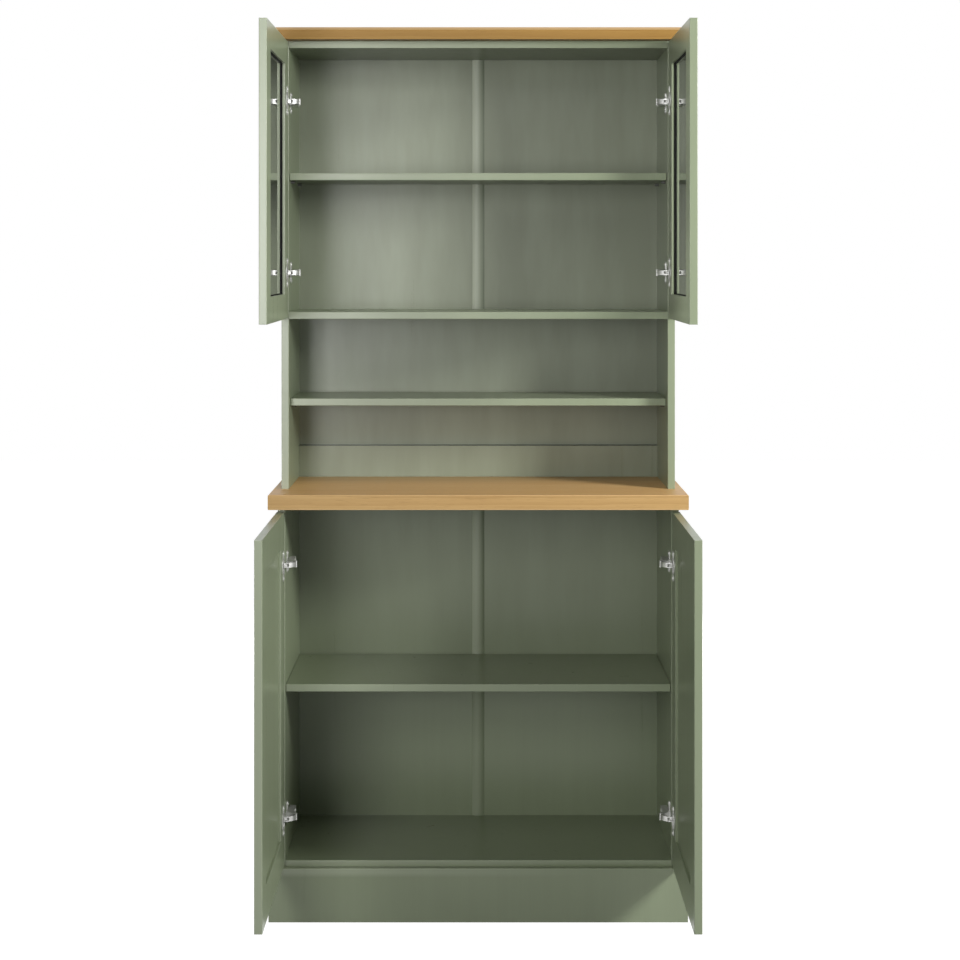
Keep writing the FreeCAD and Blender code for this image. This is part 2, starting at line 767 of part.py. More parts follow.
# Hutch
top_panel = fastened_board(upper_fastening, upper_front, back_face, cornice_bottom - board,
                           deep_fittings(upper_front, back_face), True)
save("upper_top_panel", [ease(top_panel, arris,
                              lambda p: p.y < upper_front + 0.1 and abs(p.x) < 1)])
cupboard_bottom = fastened_board(upper_fastening, upper_front, back_face, cupboard_bottom_top - board,
                                 deep_fittings(upper_front, back_face), False)
save("cupboard_bottom_panel", [ease(cupboard_bottom, arris,
                                    lambda p: p.y < upper_front + 0.1 and abs(p.x) < 1)])
save("cupboard_shelf", [loose_shelf(upper_front + cupboard_shelf_recess, cupboard_shelf_top,
                                    upper_pin_cuts)])
save("niche_shelf", [loose_shelf(upper_front + niche_shelf_recess, niche_shelf_top, upper_pin_cuts)])

# The niche's rail stands on the worktop against the thin back, with a dowel at each end
rail_top = worktop_top + niche_rail_height
niche_rail = block(-inner_half, inner_half, back_face - board, back_face, worktop_top, rail_top)
rail_fastening = Fastening()
rail_fastening.dowel(niche_rail_middle, worktop_top + niche_rail_height / 2)
upper_fastening.dowels.extend(rail_fastening.dowels)
upper_fastening.side_cuts.extend(rail_fastening.side_cuts)
save("niche_back_rail", [rail_fastening.cut_end(niche_rail).cut(upward_holes)])

# Cornice board on top of the hutch, on dowels in its sides
cornice = block(-top_half, top_half, upper_front - cornice_overhang, base_depth,
                cornice_bottom, total_height)
cornice = bevel(cornice, cornice_chamfer, lambda p: p.y < base_depth - 1 and p.z > total_height - 1)
cornice_holes = [upper_fastening.edge_dowel(V(side_middle, y, cornice_bottom), V(0, 0, 1))
                 for y in (upper_front + hutch_dowel_inset, back_face - board - hutch_dowel_inset)]
save("cornice", [cornice.cut([twin for hole in cornice_holes for twin in both_sides(hole)])])

upper_side = side_panel(upper_front, worktop_top, cornice_bottom, upper_fastening, upper_pin_cuts,
                        upper_door.heights)
save("upper_side_right", [upper_side])
save("upper_side_left", [mirrored(upper_side)])
back_joint = cupboard_bottom_top - board / 2
cupboard_back = back_half(back_joint, cornice_bottom)
save("cupboard_back_right", [cupboard_back])
save("cupboard_back_left", [mirrored(cupboard_back)])
save("cupboard_back_strip", [joining_strip(cupboard_bottom_top, cornice_bottom - board)])
groove_reach = inner_half + back_groove_depth - back_groove_play
save("niche_back_panel", [block(-groove_reach, groove_reach, back_face, back_face + back_thick,
                                worktop_top, back_joint)])

# Small hardware in the boards
save("shelf_pins", shelf_pin_solids)
dowels = base_fastening.dowels + upper_fastening.dowels
save("dowels", [twin for dowel in dowels for twin in both_sides(dowel)])
cams = base_fastening.cams + upper_fastening.cams
save("cam_fittings", [twin for cam in cams for twin in both_sides(cam)])

# Hinge halves on the side panels
hinges = [(door.front, height) for door in (lower_door, upper_door) for height in door.heights]
save("hinge_plates", [twin for front, height in hinges
                      for twin in both_sides(mounting_plate(front, height))])
save("hinge_arms", [twin for front, height in hinges for twin in both_sides(hinge_arm(front, height))])
save("hinge_arm_pins", [twin for front, height in hinges for place in (outer_pin, inner_pin)
                        for twin in both_sides(arm_pin(front, place, height))])
plate_screws = [(V(inner_half - plate_thick, front + plate_line, height + end * plate_pitch / 2),
                 screw_length + plate_thick) for front, height in hinges for end in (-1, 1)]
arm_screws = [(head, screw_length) for front, height in hinges for head in arm_screw_heads(front, height)]
save("hinge_screws", [twin for head, length in plate_screws + arm_screws
                      for twin in both_sides(screw(head, V(-1, 0, 0), length))])

# Doors, with their half of each hinge, and the links between
for level, door, infill_name in (("lower", lower_door, "panel"), ("upper", upper_door, "glass")):
    pieces = {
        "stiles": door.stiles(),
        "rails": door.rails(),
        infill_name: [door.infill()],
        "hinge_cups": door.cups(),
        "cup_screws": door.cup_screws(),
    }
    opened = {name: [swung(solid, door.front) for solid in solids] for name, solids in pieces.items()}
    opened["outer_links"] = [outer_link(door.front, height) for height in door.heights]
    opened["inner_links"] = [inner_link(door.front, height) for height in door.heights]
    for name, solids in opened.items():
        save(f"{level}_right_{name}", solids)
        save(f"{level}_left_{name}", [mirrored(solid) for solid in solids])
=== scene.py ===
"""Looks of a two-part kitchen buffet: sage green boards, oak tops, nickel hinges and clear panes."""
import json
import math

import bpy
import numpy as np
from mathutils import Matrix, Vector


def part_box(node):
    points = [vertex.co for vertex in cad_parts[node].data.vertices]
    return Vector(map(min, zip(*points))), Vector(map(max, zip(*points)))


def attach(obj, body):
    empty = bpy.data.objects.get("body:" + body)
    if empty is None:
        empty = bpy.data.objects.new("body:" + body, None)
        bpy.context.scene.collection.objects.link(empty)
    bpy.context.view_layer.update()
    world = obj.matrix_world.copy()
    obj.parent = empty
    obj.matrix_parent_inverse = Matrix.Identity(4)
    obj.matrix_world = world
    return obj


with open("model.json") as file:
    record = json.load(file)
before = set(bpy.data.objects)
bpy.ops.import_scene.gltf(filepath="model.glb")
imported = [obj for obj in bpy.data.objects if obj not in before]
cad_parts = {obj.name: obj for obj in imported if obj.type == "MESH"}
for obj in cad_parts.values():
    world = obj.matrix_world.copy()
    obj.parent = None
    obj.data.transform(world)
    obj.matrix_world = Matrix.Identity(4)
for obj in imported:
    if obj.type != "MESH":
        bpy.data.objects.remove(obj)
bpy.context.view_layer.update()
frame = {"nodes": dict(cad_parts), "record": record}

bl_info = {
    "name": "Kitchen buffet",
    "version": (1, 0, 0),
    "blender": (4, 5, 0),
    "location": "View3D > Sidebar > Buffet",
    "description": "Finishes, fittings and studio for a two-part kitchen buffet",
    "category": "Object",
}

NODES = frame["nodes"]
BLACK = (0.0, 0.0, 0.0)
WHITE = (1.0, 1.0, 1.0)

# Places on the buffet that its finishes follow, in metres
BACK_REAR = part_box("niche_back_panel")[1].y
RAIL_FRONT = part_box("niche_back_rail")[0].y
RAIL_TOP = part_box("niche_back_rail")[1].z
WORKTOP_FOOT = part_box("worktop")[0].z
BASE_SHELF_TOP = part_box("base_shelf")[1].z
BASE_FLOOR_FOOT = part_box("base_bottom_panel")[0].z
HUTCH_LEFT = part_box("upper_side_left")[0].x
STRIP_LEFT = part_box("cupboard_back_strip")[0].x
STRIP_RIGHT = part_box("cupboard_back_strip")[1].x

# How far a mask reaches beyond the face that it is meant for
SKIN = 0.0005

# Stretches over which a finish changes, in metres: heights, then depths, then one across
PLINTH_TO_BASE = (BASE_FLOOR_FOOT - 0.015, BASE_FLOOR_FOOT - 0.005)
BASE_SHELF_UP = (BASE_SHELF_TOP, BASE_SHELF_TOP + 0.01)
BASE_TO_HUTCH = (WORKTOP_FOOT - 0.01, WORKTOP_FOOT)
WORKTOP_ARRIS = (WORKTOP_FOOT + 0.002, WORKTOP_FOOT + 0.003)
SEAM_FOOT = (RAIL_TOP - 0.0006, RAIL_TOP - 0.0004)
SEAM_HEAD = (RAIL_TOP + 0.0008, RAIL_TOP + 0.0016)
GREEN_TO_GREY = (0.3, 1.0)
HUTCH_TO_CORNICE = (1.3, 1.5)
DOORS_TO_CARCASS = (-0.1, 0.0)
FRONT_TO_BACK = (0.20, 0.32)
LEFT_TO_RIGHT = (HUTCH_LEFT, 0.25)

# How squarely a face looks along an axis: the cosines from which it counts a little, and in full
SQUARE = (0.9, 0.98)
SLOPE_START = (0.4, 0.6)
SLOPE_END = (0.8, 0.95)

# The camera: its frame's size and the point straight ahead of it in pixels, its sensor's width in
# millimetres, and its place in metres
IMAGE_SIZE = 960
STRAIGHT_AHEAD = (478.26, 260.07)
SENSOR_WIDTH = 36.0
CAMERA_PLACE = (0.0, -3.88365, 1.3259)

# The section of the glazing seal: shares of its width out from the frame and of its rise from the pane
SEAL_LIP = np.array([(-0.02, 0.0), (0.55, 0.0), (1.0, 0.12), (1.0, 0.5),
                     (0.8, 0.8), (0.45, 1.0), (-0.02, 1.0)])

# Each lamp's place, the point that it looks at, its width in metres and the setting of its power
LAMPS = {
    "key_lamp": ((2.3, -1.35, 1.9), (0.0, 0.1, 0.9), 0.6, "key_power"),
    "side_lamp": ((1.4, -0.95, 0.95), (0.0, 0.1, 0.9), 0.45, "side_power"),
    "high_left_lamp": ((-0.8, -2.4, 1.7), (0.0, 0.0, 1.3), 0.6, "high_left_power"),
    "low_left_lamp": ((-0.9, -3.0, 1.2), (0.0, 0.0, 1.2), 0.6, "low_left_power"),
    "top_lamp": ((0.0, -1.2, 2.4), (0.0, 0.1, 1.2), 0.8, "top_power"),
    "rear_lamp": ((0.0, 3.6, 0.4), (0.0, 0.37, 0.9), 0.7, "rear_power"),
    "left_lamp": ((-3.4, 0.9, 0.4), (-0.4, 0.1, 0.9), 0.7, "left_power"),
}

# From the middle of the floor to its sides, in metres
FLOOR_HALF = 9.0


class Signal:
    """The output of a shader node. Arithmetic on signals adds Math nodes to the material."""

    def __init__(self, tree, socket):
        self.tree = tree
        self.socket = socket

    def node(self, kind, settings, inputs, output=0):
        """A new node in the same tree: its settings first, then the values or links of its sockets."""
        made = self.tree.nodes.new(kind)
        for name, value in settings.items():
            setattr(made, name, value)
        for key, value in inputs.items():
            if isinstance(value, Signal):
                self.tree.links.new(value.socket, made.inputs[key])
            else:
                made.inputs[key].default_value = value
        return Signal(self.tree, made.outputs[output])

    def math(self, operation, first, second=0.0):
        """A Math node on two values or signals."""
        return self.node("ShaderNodeMath", {"operation": operation}, {0: first, 1: second})

    def __add__(self, other):
        return self.math("ADD", self, other)

    __radd__ = __add__

    def __sub__(self, other):
        return self.math("SUBTRACT", self, other)

    def __rsub__(self, other):
        return self.math("SUBTRACT", other, self)

    def __mul__(self, other):
        return self.math("MULTIPLY", self, other)

    __rmul__ = __mul__

    def __pow__(self, other):
        return self.math("POWER", self, other)


# Helpers for the finishes

def start_finish(name):
    """A new material: its Principled shader and the Object coordinates as a signal."""
    material = bpy.data.materials.new(name)
    material.use_nodes = True
    tree = material.node_tree
    coordinates = tree.nodes.new("ShaderNodeTexCoord")
    return material, tree.nodes["Principled BSDF"], Signal(tree, coordinates.outputs["Object"])


def feed(shader, links, values):
    """Link signals to a shader's sockets, and set the sockets that are the same all over."""
    for name, signal in links.items():
        signal.tree.links.new(signal.socket, shader.inputs[name])
    for name, value in values.items():
        shader.inputs[name].default_value = value


def stretched(place, scale, shift=(0.0, 0.0, 0.0)):
    """Coordinates times a scale along each axis, and then shifted."""
    return place.node("ShaderNodeMapping", {"vector_type": "POINT"},
                      {"Vector": place, "Location": shift, "Scale": scale})


def noise(place, scale, detail=2.0, roughness=0.5):
    """Soft noise from 0 to 1. Its scale is cycles to the metre, or three of them, along X, Y and Z."""
    if isinstance(scale, tuple):
        place, scale = stretched(place, scale), 1.0
    return place.node("ShaderNodeTexNoise", {"noise_dimensions": "3D"},
                      {"Vector": place, "Scale": scale, "Detail": detail, "Roughness": roughness})


def between(signal, low, high, at_low=0.0, at_high=1.0):
    """The signal taken from one range to another, and held at the ends."""
    return signal.node("ShaderNodeMapRange", {"clamp": True},
                       {"Value": signal, "From Min": low, "From Max": high,
                        "To Min": at_low, "To Max": at_high})


def until(signal, low, high):
    """1 up to the low value, falling to 0 at the high one."""
    return between(signal, low, high, 1.0, 0.0)


def beyond(signal, limit):
    """1 where a signal is greater than a limit, and 0 elsewhere."""
    return signal.math("GREATER_THAN", signal, limit)


def opaque(colour):
    """A colour as a socket takes it: a signal as it is, and three values with an alpha of 1."""
    return colour if isinstance(colour, Signal) else (*colour, 1.0)


def tint(share, first, second, blend="MIX"):
    """The first colour taken to the second by a share from 0 to 1. Each is a signal or three values."""
    # Inputs 6 and 7 and output 2 of a Mix node are its colours
    return share.node("ShaderNodeMix", {"data_type": "RGBA", "blend_type": blend},
                      {0: share, 6: opaque(first), 7: opaque(second)}, 2)


def bump(height, distance, normal=None):
    """A normal that follows a height signal, in metres."""
    inputs = {"Height": height, "Distance": distance, "Strength": 1.0}
    if normal is not None:
        inputs["Normal"] = normal
    return height.node("ShaderNodeBump", {}, inputs)


def rounded_edges(place, radius):
    """The normal of the surface as if its edges were rounded, and a mask that is 1 on the edges."""
    soft = place.node("ShaderNodeBevel", {"samples": 4}, {"Radius": radius})
    flat = place.node("ShaderNodeNewGeometry", {}, {}, "Normal")
    alike = soft.node("ShaderNodeVectorMath", {"operation": "DOT_PRODUCT"}, {0: soft, 1: flat}, "Value")
    return soft, between(1.0 - alike, 0.01, 0.25)


def part_of(place, axis):
    """One coordinate of a place or a direction."""
    return place.node("ShaderNodeSeparateXYZ", {}, {0: place}, axis)


def rise_of(place):
    """How far a face looks up: 1 on level tops, 0 on upright faces and -1 on level undersides."""
    return part_of(place.node("ShaderNodeNewGeometry", {}, {}, "Normal"), "Z")


def facing_up(place):
    """1 on level tops and 0 elsewhere."""
    return between(rise_of(place), *SQUARE)


def facing_down(place):
    """1 on level undersides and 0 elsewhere."""
    return between(0.0 - rise_of(place), *SQUARE)


def facing_front(place):
    """1 on the faces that look forward while the doors stand open, and 0 elsewhere. A door's faces
    keep their value as it turns."""
    return between(0.0 - part_of(place.node("ShaderNodeTexCoord", {}, {}, "Normal"), "Y"), *SQUARE)


def sloping(place):
    """1 on faces that slope up at about 45 degrees, as on a bevel, and 0 on level and upright ones."""
    rise = rise_of(place)
    return between(rise, *SLOPE_START) * until(rise, *SLOPE_END)


# Finishes

def sage_paint(settings):
    """Satin lacquer with drifts of tone and faint upright streaks, as age and use have changed it from
    place to place, and bare hardboard at the rear."""
    material, shader, place = start_finish("sage_paint")
    soft, edge = rounded_edges(place, settings.arris)
    drifts = noise(place, scale=2.3, detail=3.0)
    streaks = noise(place, scale=(34.0, 34.0, 1.1), detail=4.0, roughness=0.65)
    speckle = noise(place, scale=900.0, detail=1.0)
    tone = between(drifts * 0.5 + streaks * 0.4 + speckle * 0.1, 0.3, 0.7)
    colour = tint(tone, settings.shade, settings.colour)
    # Greyer backs: partly their own paint, partly a painted sheen
    colour = grey_backs_with_sheen(place, colour, settings)
    # Painted shade under the boards and on the base's lowest level tops
    colour = paint_hollow_shade(place, colour, settings)
    # Painted light on the front edges, stronger towards the left
    colour = tint(painted_light_on_fronts(place) * settings.front_painted_light, colour, settings.wear_and_highlight)
    # Paler arrises: partly wear, partly painted highlight
    colour = tint(edge * settings.edge_wear_and_highlight, colour, settings.wear_and_highlight)
    # Painted shadow in the joint over the niche's rail
    colour = tint(rail_seam_shade(place) * settings.seam, colour, BLACK)
    colour = bare_rear(place, colour, settings)
    gloss = settings.roughness + 0.12 * (streaks - 0.5) + 0.04 * (speckle - 0.5)
    grain = noise(place, scale=(520.0, 520.0, 90.0), detail=3.0)
    surface = bump(grain * 0.6 + speckle * 0.4, settings.texture_depth, soft)
    feed(shader, {"Base Color": colour, "Roughness": gloss, "Normal": surface},
         {"Specular IOR Level": 0.5})
    return material


def grey_backs_with_sheen(place, colour, settings):
    """Grey the niche's rail, the thin backs and the ends of the boards beside them in broad upright
    clouds, in the hutch more than down in the base: partly their own greyer paint, partly a painted sheen."""
    backs = beyond(part_of(place, "Y"), RAIL_FRONT - SKIN) * between(part_of(place, "Z"), *GREEN_TO_GREY)
    clouds = noise(place, scale=(7.5, 7.5, 1.6), detail=4.0, roughness=0.6)
    greyed = tint(between(clouds, 0.38, 0.62), settings.back_shade, settings.back)
    return tint(backs * settings.back_greyness, colour, greyed)


def paint_hollow_shade(place, colour, settings):
    """Painted shade: darken the undersides, and a little also the level tops from the floor to the base's
    shelf.
    """
    colour = tint(facing_down(place) * settings.underside_shade, colour, settings.underside_shade_tone, "MULTIPLY")
    base_tops = facing_up(place) * until(part_of(place, "Z"), *BASE_SHELF_UP)
    return tint(base_tops * settings.base_shade, colour, settings.underside_shade_tone, "MULTIPLY")


def painted_light_on_fronts(place):
    """Painted light: 1 on the front edge of the hutch's left side, fading to 0 at the right of the buffet.
    The base and the doors' closing edges have less, and the plinth and everything further back none."""
    across, depth, height = (part_of(place, axis) for axis in "XYZ")
    fronts = facing_front(place) * until(depth, *FRONT_TO_BACK) * until(across, *LEFT_TO_RIGHT)
    carcass = between(depth, *DOORS_TO_CARCASS, at_low=0.6)
    hutch = between(height, *BASE_TO_HUTCH, at_low=0.8)
    return fronts * carcass * hutch * between(height, *PLINTH_TO_BASE)


def rail_seam_shade(place):
    """1 in the painted shadow of the joint over the niche's rail: on its top, and at that height on the
    panel behind it and on the rear ends of the sides."""
    depth, height = part_of(place, "Y"), part_of(place, "Z")
    joint = between(height, *SEAM_FOOT) * until(height, *SEAM_HEAD)
    return joint * beyond(depth, RAIL_FRONT + SKIN)


def bare_rear(place, colour, settings):
    """Leave the rear faces of the thin backs, and what lies further back, as fibrous hardboard."""
    fibres = noise(place, scale=(160.0, 160.0, 220.0), detail=3.0)
    hardboard = tint(fibres, settings.hardboard_dark, settings.hardboard_light)
    return tint(beyond(part_of(place, "Y"), BACK_REAR - SKIN), colour, hardboard)


def strip_plastic(settings):
    """The extruded strip between the back halves: drawn lengthwise, with painted light on its left side and
    painted shade on its right, in the hutch more than down in the base."""
    material, shader, place = start_finish("strip_plastic")
    drawn = noise(place, scale=(700.0, 700.0, 3.0), detail=3.0)
    drifts = noise(place, scale=4.0)
    across = between(part_of(place, "X"), STRIP_LEFT, STRIP_RIGHT) ** 1.5
    tone = between(across * 0.8 + drifts * 0.1 + drawn * 0.1, 0.1, 0.9)
    # Painted light on the strip's left side and painted shade on its right
    lit_and_shaded = tint(tone, settings.strip_lit_side, settings.strip_shaded_side)
    share = between(part_of(place, "Z"), *GREEN_TO_GREY, at_low=0.25)
    colour = tint(share, settings.colour, lit_and_shaded)
    feed(shader, {"Base Color": colour, "Roughness": 0.42 + 0.1 * drawn,
                  "Normal": bump(drawn, 0.00002)}, {})
    return material


def honey_oak(settings):
    """Lacquered oak with its grain along X: distorted rings, streaks, short dark pores and a few knots.
    Its level tops are paler with painted light, except towards the rear."""
    material, shader, place = start_finish("honey_oak")
    soft, edge = rounded_edges(place, settings.arris)
    rings = place.node("ShaderNodeTexWave",
                       {"wave_type": "RINGS", "rings_direction": "X", "wave_profile": "SAW"},
                       {"Vector": stretched(place, (0.5, 7.0, 7.0), (0.0, -0.3, 0.8)), "Scale": 3.2,
                        "Distortion": 5.0, "Detail": 3.0, "Detail Scale": 1.6, "Detail Roughness": 0.6},
                       "Fac")
    bands = noise(place, scale=(1.6, 42.0, 42.0), detail=4.0, roughness=0.6)
    fine = noise(place, scale=(9.0, 420.0, 420.0), detail=3.0, roughness=0.6)
    patches = noise(place, scale=(3.0, 9.0, 9.0))
    pores = between(noise(place, scale=(38.0, 1500.0, 1500.0), detail=1.0), 0.66, 0.74)
    cells = place.node("ShaderNodeTexVoronoi", {"feature": "F1"},
                       {"Vector": stretched(place, (3.1, 11.0, 11.0)), "Scale": 1.0}, "Distance")
    knots = until(cells, 0.0, 0.06)
    figure = rings * 0.25 + bands * 0.45 + patches * 0.3
    colour = tint(between(figure, 0.2, 0.8), settings.dark_grain, settings.light_grain)
    colour = tint(between(fine, 0.3, 0.75) * 0.4, colour, settings.dark_grain)
    # Painted light on the level tops, fading out towards the rear
    tops = facing_up(place) * until(part_of(place, "Y"), *FRONT_TO_BACK)
    colour = tint(tops * settings.top_painted_light, colour, settings.top_light_tone, "SCREEN")
    colour = tint(pores * 0.45, colour, settings.pores)
    colour = tint(knots * 0.55, colour, settings.pores)
    colour = wear_oak(place, colour, edge, settings)
    gloss = settings.roughness + 0.12 * (fine - 0.5) + 0.1 * pores
    surface = bump(fine * 0.5 + bands * 0.3 - pores * 0.6, settings.texture_depth, soft)
    feed(shader, {"Base Color": colour, "Roughness": gloss, "Normal": surface},
         {"Specular IOR Level": 0.22})
    return material


def wear_oak(place, colour, edge, settings):
    """Deepen the cornice, pale the arrises (partly wear, partly painted highlight), give the cornice's
    bevel and the worktop's foot a painted highlight, and darken the undersides with painted shade."""
    height = part_of(place, "Z")
    colour = tint(between(height, *HUTCH_TO_CORNICE), colour, settings.cornice_tone, "MULTIPLY")
    # Paler arrises: partly wear, partly painted highlight
    colour = tint(edge * settings.edge_wear_and_highlight, colour, settings.wear_and_highlight)
    # Painted highlights on the cornice's bevel and on the worktop's lower arris
    colour = tint(sloping(place) * settings.bevel_light, colour, settings.wear_and_highlight)
    colour = tint(until(height, *WORKTOP_ARRIS) * settings.foot_light, colour, settings.wear_and_highlight)
    # Painted shade on the undersides
    return tint(facing_down(place) * settings.underside_shade_share, colour, settings.underside_shade)


def plated_steel(settings):
    """Nickel plate: bright metal with rolling lines, faint clouds and rounded edges."""
    material, shader, place = start_finish("plated_steel")
    soft, edge = rounded_edges(place, settings.arris)
    rolled = noise(place, scale=(60.0, 60.0, 2600.0))
    clouds = noise(place, scale=160.0)
    colour = tint(between(clouds, 0.3, 0.7), settings.shade, settings.colour)
    # Paler edges: partly polish, partly painted highlight
    colour = tint(edge * settings.edge_wear_and_highlight, colour, settings.wear_and_highlight)
    gloss = settings.roughness + 0.16 * (rolled - 0.5) + 0.1 * (clouds - 0.5)
    feed(shader, {"Base Color": colour, "Roughness": gloss, "Normal": bump(rolled, 0.00001, soft)},
         {"Metallic": 0.7})
    return material


def grained(name, scale, colours, gloss, depth, values):
    """A simple finish: one noise runs from the first colour to the second. The roughness starts at
    the gloss's first value and grows with the noise by the second, and the surface rises with it by
    the depth."""
    material, shader, place = start_finish(name)
    grain = noise(place, scale, detail=3.0)
    roughness, spread = gloss
    feed(shader, {"Base Color": tint(grain, *colours), "Roughness": roughness + spread * grain,
                  "Normal": bump(grain, depth)}, values)
    return material


def dull_steel(settings):
    """Oiled steel of the shelf pins and the screws: dark, with lighter rubbed places."""
    return grained("dull_steel", 300.0, (settings.steel_shade, settings.steel),
                   gloss=(0.45, 0.25), depth=0.00002, values={"Metallic": 1.0})


def cast_zinc(settings):
    """Die-cast zinc: grey, matt and slightly pitted."""
    return grained("cast_zinc", 1400.0, (settings.zinc_shade, settings.zinc),
                   gloss=(0.35, 0.25), depth=0.00004, values={"Metallic": 0.9})


def plain_beech(settings):
    """Unfinished beech with short flecks along X."""
    return grained("plain_beech", (90.0, 900.0, 900.0), (settings.beech_dark, settings.beech_light),
                   gloss=(0.55, 0.2), depth=0.00005, values={})


def black_rubber(settings):
    """The glazing seals: soft black rubber with dust on it, so black that they also stand in for the shadow
    in the groove round each pane.
    """
    return grained("black_rubber", 600.0, (settings.colour, settings.dust),
                   gloss=(0.55, 0.3), depth=0.00004, values={"Specular IOR Level": 0.1})


def clear_glass(settings):
    """Float glass: clear when looked at squarely, a mirror at a low angle, with some wiped-off haze."""
    material, shader, place = start_finish("clear_glass")
    facing = place.node("ShaderNodeLayerWeight", {}, {"Blend": 0.5}, "Facing")
    haze = noise(place, scale=(5.0, 5.0, 2.0), detail=4.0, roughness=0.6)
    grazing = between(facing ** settings.edge_power, 0.15, 0.6)
    body = tint(haze, settings.tint_dark, settings.tint_light)
    feed(shader, {"Base Color": tint(grazing, body, settings.mirror),
                  "Metallic": grazing * settings.mirror_share,
                  "Alpha": between(grazing, 0.0, 1.0, settings.cover, 0.98),
                  "Roughness": between(haze, 0.4, 0.8, 0.01, 0.03)},
         {"Specular IOR Level": 0.5, "IOR": 1.5})
    return material


def pale_floor(settings):
    """A white studio floor that keeps the shadow of what stands on it."""
    material, shader, place = start_finish("pale_floor")
    grain = noise(place, scale=60.0, detail=3.0)
    lift = tint(seen_directly(place) * settings.floor_lift, BLACK, WHITE)
    feed(shader, {"Base Color": tint(grain, settings.floor_shade, settings.floor_colour),
                  "Roughness": 0.85 + 0.1 * grain, "Emission Color": lift},
         {"Emission Strength": 1.0})
    return material


def seen_directly(signal):
    """1 for what the camera sees, also in a mirror or through glass, and 0 for the light that it gives."""
    rays = [signal.node("ShaderNodeLightPath", {}, {}, name)
            for name in ("Is Camera Ray", "Is Glossy Ray", "Is Transmission Ray")]
    return between(rays[0] + rays[1] + rays[2], 0.0, 1.0)


def finish(names, material):
    """Put a material on CAD nodes, in the slots that their objects have."""
    for name in names:
        node = NODES[name]
        if not node.material_slots:
            node.data.materials.append(material)
        for slot in node.material_slots:
            slot.material = material


def nodes_in_slot(*slots):
    """The names of the CAD nodes whose finish is one of the record's slots."""
    return [sub["node"] for sub in frame["record"]["subparts"] if sub["material_slot"] in slots]


# Settings that a user would change

def colour_property(name, description, value):
    return bpy.props.FloatVectorProperty(name=name, description=description, default=value,
                                         subtype="COLOR", min=0.0, max=1.0)


def share_property(name, description, value):
    return bpy.props.FloatProperty(name=name, description=description, default=value,
                                   min=0.0, max=1.0, subtype="FACTOR")


def length_property(name, description, value):
    return bpy.props.FloatProperty(name=name, description=description, default=value,
                                   min=0.0, unit="LENGTH", subtype="DISTANCE")


def power_property(name, description, value):
    return bpy.props.FloatProperty(name=name, description=description, default=value,
                                   min=0.0, unit="POWER")


class PaintSettings(bpy.types.PropertyGroup):
    colour: colour_property("Paint", "Main tone of the lacquer", (0.262, 0.306, 0.196))
    shade: colour_property("Shade", "Darker tone in the drifts and streaks", (0.226, 0.266, 0.168))
    back: colour_property("Backs", "Greyer tone of the thin backs", (0.300, 0.324, 0.248))
    back_shade: colour_property("Backs shade", "Upright clouds in the thin backs", (0.232, 0.250, 0.186))
    back_greyness: share_property("Backs share", "How grey the thin backs are", 0.8)
    # Painted shade: the undersides, and the base's shelf and floor, are multiplied by this tone
    underside_shade_tone: colour_property("Underside tone", "What the undersides are multiplied by",
                                    (0.5, 0.5, 0.45))
    underside_shade: share_property("Underside", "How far the undersides take that tone", 0.95)
    base_shade: share_property("Base shade", "How far the base's shelf and floor take that tone", 0.3)
    # Painted shadow in the joint over the niche's rail
    seam: share_property("Seam", "How dark the joint over the rail of the niche is", 0.75)
    # Paler arrises: partly wear, partly painted highlight; this tone also gives the painted light on the
    # front edges
    wear_and_highlight: colour_property("Arris", "Paler tone along the edges", (0.62, 0.66, 0.53))
    # The strip's two tones are painted light on its left side and painted shade on its right
    strip_lit_side: colour_property("Strip", "Faded side of the joining strips", (0.50, 0.53, 0.43))
    strip_shaded_side: colour_property("Strip shade", "Other side of the joining strips", (0.13, 0.155, 0.10))
    hardboard_light: colour_property("Hardboard", "Rear of the thin backs", (0.42, 0.30, 0.19))
    hardboard_dark: colour_property("Hardboard shade", "Darker fibres of the rear", (0.30, 0.20, 0.12))
    roughness: share_property("Roughness", "Satin gloss of the lacquer", 0.3)
    # How far the arrises take the tone of wear and painted highlight
    edge_wear_and_highlight: share_property("Arris wear", "How much paler the edges are", 0.6)
    # Painted light on the front edges towards the left
    front_painted_light: share_property("Bleach", "How much paler the front edges are towards the left", 0.4)
    arris: length_property("Arris radius", "Radius at which edges catch the light", 0.0017)
    texture_depth: length_property("Texture depth", "Relief of the lacquer", 0.00003)


